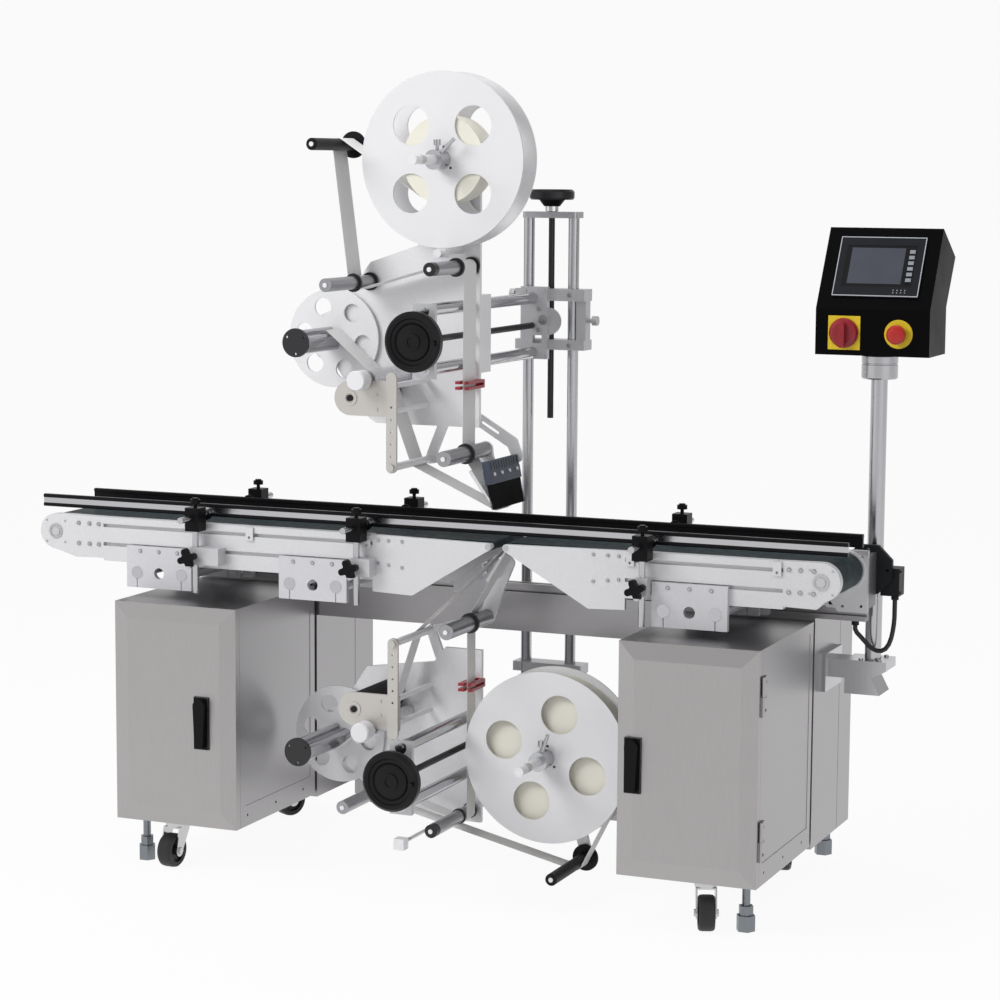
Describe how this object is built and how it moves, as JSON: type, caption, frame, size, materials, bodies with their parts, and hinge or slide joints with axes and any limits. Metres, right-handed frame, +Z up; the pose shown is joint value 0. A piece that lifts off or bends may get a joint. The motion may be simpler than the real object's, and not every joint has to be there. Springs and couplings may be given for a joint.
{
  "type": "flat surface labeling machine",
  "caption": "Floor-standing labelling machine: belt conveyor on two cabinets, label heads above and below the belts, guide rails, lift column and operator screen.",
  "frame": {"origin": "centre of the bounding box, on the floor", "axes": "+X along the belts to the outfeed end, +Y from the operator's side to the back, +Z up"},
  "size_m": [1.978, 0.894, 1.75],
  "materials": {
    "cabinet_paint": "satin",
    "door_paint": "satin",
    "beam_stainless": "brushed",
    "foot_steel": "satin",
    "mount_aluminium": "satin",
    "conveyor_aluminium": "satin",
    "belt_rubber": "matte",
    "bracket_aluminium": "satin",
    "motor_housing": "satin",
    "cable_rubber": "satin",
    "column_steel": "polished",
    "carriage_aluminium": "satin",
    "latch_plastic": "satin",
    "caster_zinc": "satin",
    "caster_rubber": "satin",
    "pulley_aluminium": "satin",
    "rail_plastic": "satin",
    "screen_housing": "satin",
    "screen_bezel": "gloss",
    "switch_red": "gloss",
    "button_red": "gloss",
    "handwheel_black": "satin",
    "head_aluminium": "satin",
    "web_film": "satin",
    "reel_plastic": "satin",
    "rewind_aluminium": "satin",
    "drive_rubber": "matte",
    "roller_aluminium": "satin",
    "dancer_black": "satin",
    "brush_black": "matte"
  },
  "bodies": {
    "frame": {"cabinet_left": "cabinet_paint", "cabinet_right": "cabinet_paint", "rear_beams": "beam_stainless", "levelling_feet": "foot_steel", "conveyor_mounts": "mount_aluminium", "infeed_frame": "conveyor_aluminium", "outfeed_frame": "conveyor_aluminium", "infeed_belt": "belt_rubber", "outfeed_belt": "belt_rubber", "guide_brackets": "bracket_aluminium", "drive_motor": "motor_housing", "motor_cable": "cable_rubber", "lift_posts": "column_steel", "lower_carriage": "carriage_aluminium", "screen_post": "column_steel"},
    "left_door": {"left_door": "door_paint"},
    "right_door": {"right_door": "door_paint"},
    "left_latch": {"left_latch": "latch_plastic"},
    "right_latch": {"right_latch": "latch_plastic"},
    "front_left_fork": {"front_left_fork": "caster_zinc"},
    "front_left_wheel": {"front_left_wheel": "caster_rubber"},
    "front_right_fork": {"front_right_fork": "caster_zinc"},
    "front_right_wheel": {"front_right_wheel": "caster_rubber"},
    "rear_left_fork": {"rear_left_fork": "caster_zinc"},
    "rear_left_wheel": {"rear_left_wheel": "caster_rubber"},
    "rear_right_fork": {"rear_right_fork": "caster_zinc"},
    "rear_right_wheel": {"rear_right_wheel": "caster_rubber"},
    "tail_pulley": {"tail_pulley": "pulley_aluminium"},
    "drive_pulley": {"drive_pulley": "pulley_aluminium"},
    "front_guide_rail": {"front_guide_rail": "rail_plastic"},
    "rear_guide_rail": {"rear_guide_rail": "rail_plastic"},
    "screen": {"screen_box": "screen_housing", "touch_screen": "screen_bezel"},
    "rotary_switch": {"rotary_switch": "switch_red"},
    "stop_button": {"stop_button": "button_red"},
    "lift_screw": {"lift_screw": "handwheel_black"},
    "upper_carriage": {"upper_carriage": "carriage_aluminium"},
    "upper_cross_screw": {"upper_cross_screw": "handwheel_black"},
    "upper_head": {"upper_head_plate": "head_aluminium", "upper_web": "web_film", "upper_brush": "brush_black"},
    "lower_cross_screw": {"lower_cross_screw": "handwheel_black"},
    "lower_head": {"lower_head_plate": "head_aluminium", "lower_web": "web_film"},
    "upper_supply_reel": {"upper_supply_reel": "reel_plastic"},
    "upper_rewind_reel": {"upper_rewind_reel": "rewind_aluminium"},
    "upper_drive_roller": {"upper_drive_roller": "drive_rubber"},
    "upper_pinch_roller": {"upper_pinch_roller": "roller_aluminium"},
    "upper_idler_left": {"upper_idler_left": "roller_aluminium"},
    "upper_idler_right": {"upper_idler_right": "roller_aluminium"},
    "upper_dancer": {"upper_dancer": "dancer_black"},
    "upper_peel_roller": {"upper_peel_roller": "roller_aluminium"},
    "lower_supply_reel": {"lower_supply_reel": "reel_plastic"},
    "lower_rewind_reel": {"lower_rewind_reel": "rewind_aluminium"},
    "lower_drive_roller": {"lower_drive_roller": "drive_rubber"},
    "lower_pinch_roller": {"lower_pinch_roller": "roller_aluminium"},
    "lower_idler_left": {"lower_idler_left": "roller_aluminium"},
    "lower_idler_right": {"lower_idler_right": "roller_aluminium"},
    "lower_dancer": {"lower_dancer": "dancer_black"},
    "lower_peel_roller": {"lower_peel_roller": "roller_aluminium"}
  },
  "joints": [
    {"name": "left_door_hinge", "type": "hinge", "parent": "frame", "child": "left_door", "pos_m": [-0.73, -0.239, 0.35], "axis": [0, 0, 1], "range_deg": [-110, 0]},
    {"name": "right_door_hinge", "type": "hinge", "parent": "frame", "child": "right_door", "pos_m": [0.762, -0.239, 0.35], "axis": [0, 0, 1], "range_deg": [0, 110]},
    {"name": "left_latch_turn", "type": "hinge", "parent": "left_door", "child": "left_latch", "pos_m": [-0.506, -0.261, 0.38], "axis": [0, 1, 0], "range_deg": [0, 90]},
    {"name": "right_latch_turn", "type": "hinge", "parent": "right_door", "child": "right_latch", "pos_m": [0.494, -0.261, 0.38], "axis": [0, 1, 0], "range_deg": [-90, 0]},
    {"name": "front_left_swivel", "type": "hinge", "parent": "frame", "child": "front_left_fork", "pos_m": [-0.603, -0.203, 0.09], "axis": [0, 0, 1], "continuous": true},
    {"name": "front_left_roll", "type": "hinge", "parent": "front_left_fork", "child": "front_left_wheel", "pos_m": [-0.60415, -0.22497, 0.0385], "axis": [-0.9986, 0.0523, 0], "continuous": true},
    {"name": "front_right_swivel", "type": "hinge", "parent": "frame", "child": "front_right_fork", "pos_m": [0.636, -0.203, 0.09], "axis": [0, 0, 1], "continuous": true},
    {"name": "front_right_roll", "type": "hinge", "parent": "front_right_fork", "child": "front_right_wheel", "pos_m": [0.64424, -0.2234, 0.0385], "axis": [-0.9272, -0.3746, 0], "continuous": true},
    {"name": "rear_left_swivel", "type": "hinge", "parent": "frame", "child": "rear_left_fork", "pos_m": [-0.576, 0.329, 0.09], "axis": [0, 0, 1], "continuous": true},
    {"name": "rear_left_roll", "type": "hinge", "parent": "rear_left_fork", "child": "rear_left_wheel", "pos_m": [-0.587, 0.30995, 0.0375], "axis": [-0.866, 0.5, 0], "continuous": true},
    {"name": "rear_right_swivel", "type": "hinge", "parent": "frame", "child": "rear_right_fork", "pos_m": [0.644, 0.329, 0.09], "axis": [0, 0, 1], "continuous": true},
    {"name": "rear_right_roll", "type": "hinge", "parent": "rear_right_fork", "child": "rear_right_wheel", "pos_m": [0.64782, 0.30733, 0.0375], "axis": [-0.9848, -0.1736, 0], "continuous": true},
    {"name": "tail_pulley_spin", "type": "hinge", "parent": "frame", "child": "tail_pulley", "pos_m": [-0.939, -0.049, 0.725], "axis": [0, 1, 0], "continuous": true},
    {"name": "drive_pulley_spin", "type": "hinge", "parent": "frame", "child": "drive_pulley", "pos_m": [0.851, -0.049, 0.725], "axis": [0, 1, 0], "continuous": true},
    {"name": "front_rail_slide", "type": "slide", "parent": "frame", "child": "front_guide_rail", "axis": [0, 1, 0], "range_m": [-0.025, 0.02]},
    {"name": "rear_rail_slide", "type": "slide", "parent": "frame", "child": "rear_guide_rail", "axis": [0, 1, 0], "range_m": [-0.02, 0.02]},
    {"name": "screen_swivel", "type": "hinge", "parent": "frame", "child": "screen", "pos_m": [0.867, 0.209, 1.16], "axis": [0, 0, 1], "range_deg": [-45, 45]},
    {"name": "rotary_switch_turn", "type": "hinge", "parent": "screen", "child": "rotary_switch", "pos_m": [0.8075, 0.136, 1.21], "axis": [0, 1, 0], "range_deg": [0, 90]},
    {"name": "stop_button_push", "type": "slide", "parent": "screen", "child": "stop_button", "axis": [0, 1, 0], "range_m": [0, 0.004]},
    {"name": "lift_screw_turn", "type": "hinge", "parent": "frame", "child": "lift_screw", "pos_m": [0.052, 0.379, 1.449], "axis": [0, 0, 1], "range_deg": [-860, 10800]},
    {"name": "upper_carriage_lift", "type": "slide", "parent": "frame", "child": "upper_carriage", "axis": [0, 0, 1], "range_m": [-0.012, 0.1501]},
    {"name": "upper_cross_screw_turn", "type": "hinge", "parent": "upper_carriage", "child": "upper_cross_screw", "pos_m": [0.021, -0.257, 1.192], "axis": [0, 1, 0], "range_deg": [-2880, 4320]},
    {"name": "upper_head_slide", "type": "slide", "parent": "upper_carriage", "child": "upper_head", "axis": [0, 1, 0], "range_m": [-0.0401, 0.0601]},
    {"name": "lower_cross_screw_turn", "type": "hinge", "parent": "frame", "child": "lower_cross_screw", "pos_m": [0.028, -0.381, 0.297], "axis": [0, 1, 0], "range_deg": [-2160, 2880]},
    {"name": "lower_head_slide", "type": "slide", "parent": "frame", "child": "lower_head", "axis": [0, 1, 0], "range_m": [-0.0301, 0.0401]},
    {"name": "upper_supply_reel_spin", "type": "hinge", "parent": "upper_head", "child": "upper_supply_reel", "pos_m": [-0.01, -0.061, 1.564], "axis": [0, 1, 0], "continuous": true},
    {"name": "upper_rewind_reel_spin", "type": "hinge", "parent": "upper_head", "child": "upper_rewind_reel", "pos_m": [-0.303, -0.061, 1.174], "axis": [0, 1, 0], "continuous": true},
    {"name": "upper_drive_roller_spin", "type": "hinge", "parent": "upper_head", "child": "upper_drive_roller", "pos_m": [-0.174, -0.061, 1.061], "axis": [0, 1, 0], "continuous": true},
    {"name": "upper_pinch_roller_spin", "type": "hinge", "parent": "upper_head", "child": "upper_pinch_roller", "pos_m": [-0.13809, -0.061, 1.10159], "axis": [0, 1, 0], "continuous": true},
    {"name": "upper_idler_left_spin", "type": "hinge", "parent": "upper_head", "child": "upper_idler_left", "pos_m": [-0.216, -0.061, 1.3], "axis": [0, 1, 0], "continuous": true},
    {"name": "upper_idler_right_spin", "type": "hinge", "parent": "upper_head", "child": "upper_idler_right", "pos_m": [0.0246, -0.061, 1.338], "axis": [0, 1, 0], "continuous": true},
    {"name": "upper_dancer_spin", "type": "hinge", "parent": "upper_head", "child": "upper_dancer", "pos_m": [-0.256, -0.061, 1.595], "axis": [0, 1, 0], "continuous": true},
    {"name": "upper_peel_roller_spin", "type": "hinge", "parent": "upper_head", "child": "upper_peel_roller", "pos_m": [0.0555, -0.061, 0.944], "axis": [0, 1, 0], "continuous": true},
    {"name": "lower_supply_reel_spin", "type": "hinge", "parent": "lower_head", "child": "lower_supply_reel", "pos_m": [0.237, -0.061, 0.298], "axis": [0, 1, 0], "continuous": true},
    {"name": "lower_rewind_reel_spin", "type": "hinge", "parent": "lower_head", "child": "lower_rewind_reel", "pos_m": [-0.289, -0.061, 0.289], "axis": [0, 1, 0], "continuous": true},
    {"name": "lower_drive_roller_spin", "type": "hinge", "parent": "lower_head", "child": "lower_drive_roller", "pos_m": [-0.165, -0.061, 0.39], "axis": [0, 1, 0], "continuous": true},
    {"name": "lower_pinch_roller_spin", "type": "hinge", "parent": "lower_head", "child": "lower_pinch_roller", "pos_m": [-0.12909, -0.061, 0.34941], "axis": [0, 1, 0], "continuous": true},
    {"name": "lower_idler_left_spin", "type": "hinge", "parent": "lower_head", "child": "lower_idler_left", "pos_m": [-0.177, -0.061, 0.179], "axis": [0, 1, 0], "continuous": true},
    {"name": "lower_idler_right_spin", "type": "hinge", "parent": "lower_head", "child": "lower_idler_right", "pos_m": [0.0316, -0.061, 0.148], "axis": [0, 1, 0], "continuous": true},
    {"name": "lower_dancer_spin", "type": "hinge", "parent": "lower_head", "child": "lower_dancer", "pos_m": [0.3, -0.061, 0.068], "axis": [0, 1, 0], "continuous": true},
    {"name": "lower_peel_roller_spin", "type": "hinge", "parent": "lower_head", "child": "lower_peel_roller", "pos_m": [0.0625, -0.061, 0.578], "axis": [0, 1, 0], "continuous": true}
  ],
  "couplings": [
    {"joint": "upper_carriage_lift", "follows": "lift_screw_turn", "m_per_rad": 0.00079577},
    {"joint": "upper_head_slide", "follows": "upper_cross_screw_turn", "m_per_rad": 0.00079577},
    {"joint": "lower_head_slide", "follows": "lower_cross_screw_turn", "m_per_rad": 0.00079577},
    {"joint": "upper_pinch_roller_spin", "follows": "upper_drive_roller_spin", "ratio": -1.65},
    {"joint": "upper_idler_left_spin", "follows": "upper_drive_roller_spin", "ratio": 2.2917},
    {"joint": "upper_idler_right_spin", "follows": "upper_drive_roller_spin", "ratio": -2.2917},
    {"joint": "upper_dancer_spin", "follows": "upper_drive_roller_spin", "ratio": 2.5385},
    {"joint": "upper_peel_roller_spin", "follows": "upper_drive_roller_spin", "ratio": 2},
    {"joint": "lower_pinch_roller_spin", "follows": "lower_drive_roller_spin", "ratio": -1.65},
    {"joint": "lower_idler_left_spin", "follows": "lower_drive_roller_spin", "ratio": 2.2917},
    {"joint": "lower_idler_right_spin", "follows": "lower_drive_roller_spin", "ratio": -2.2917},
    {"joint": "lower_dancer_spin", "follows": "lower_drive_roller_spin", "ratio": 2.5385},
    {"joint": "lower_peel_roller_spin", "follows": "lower_drive_roller_spin", "ratio": 2}
  ]
}
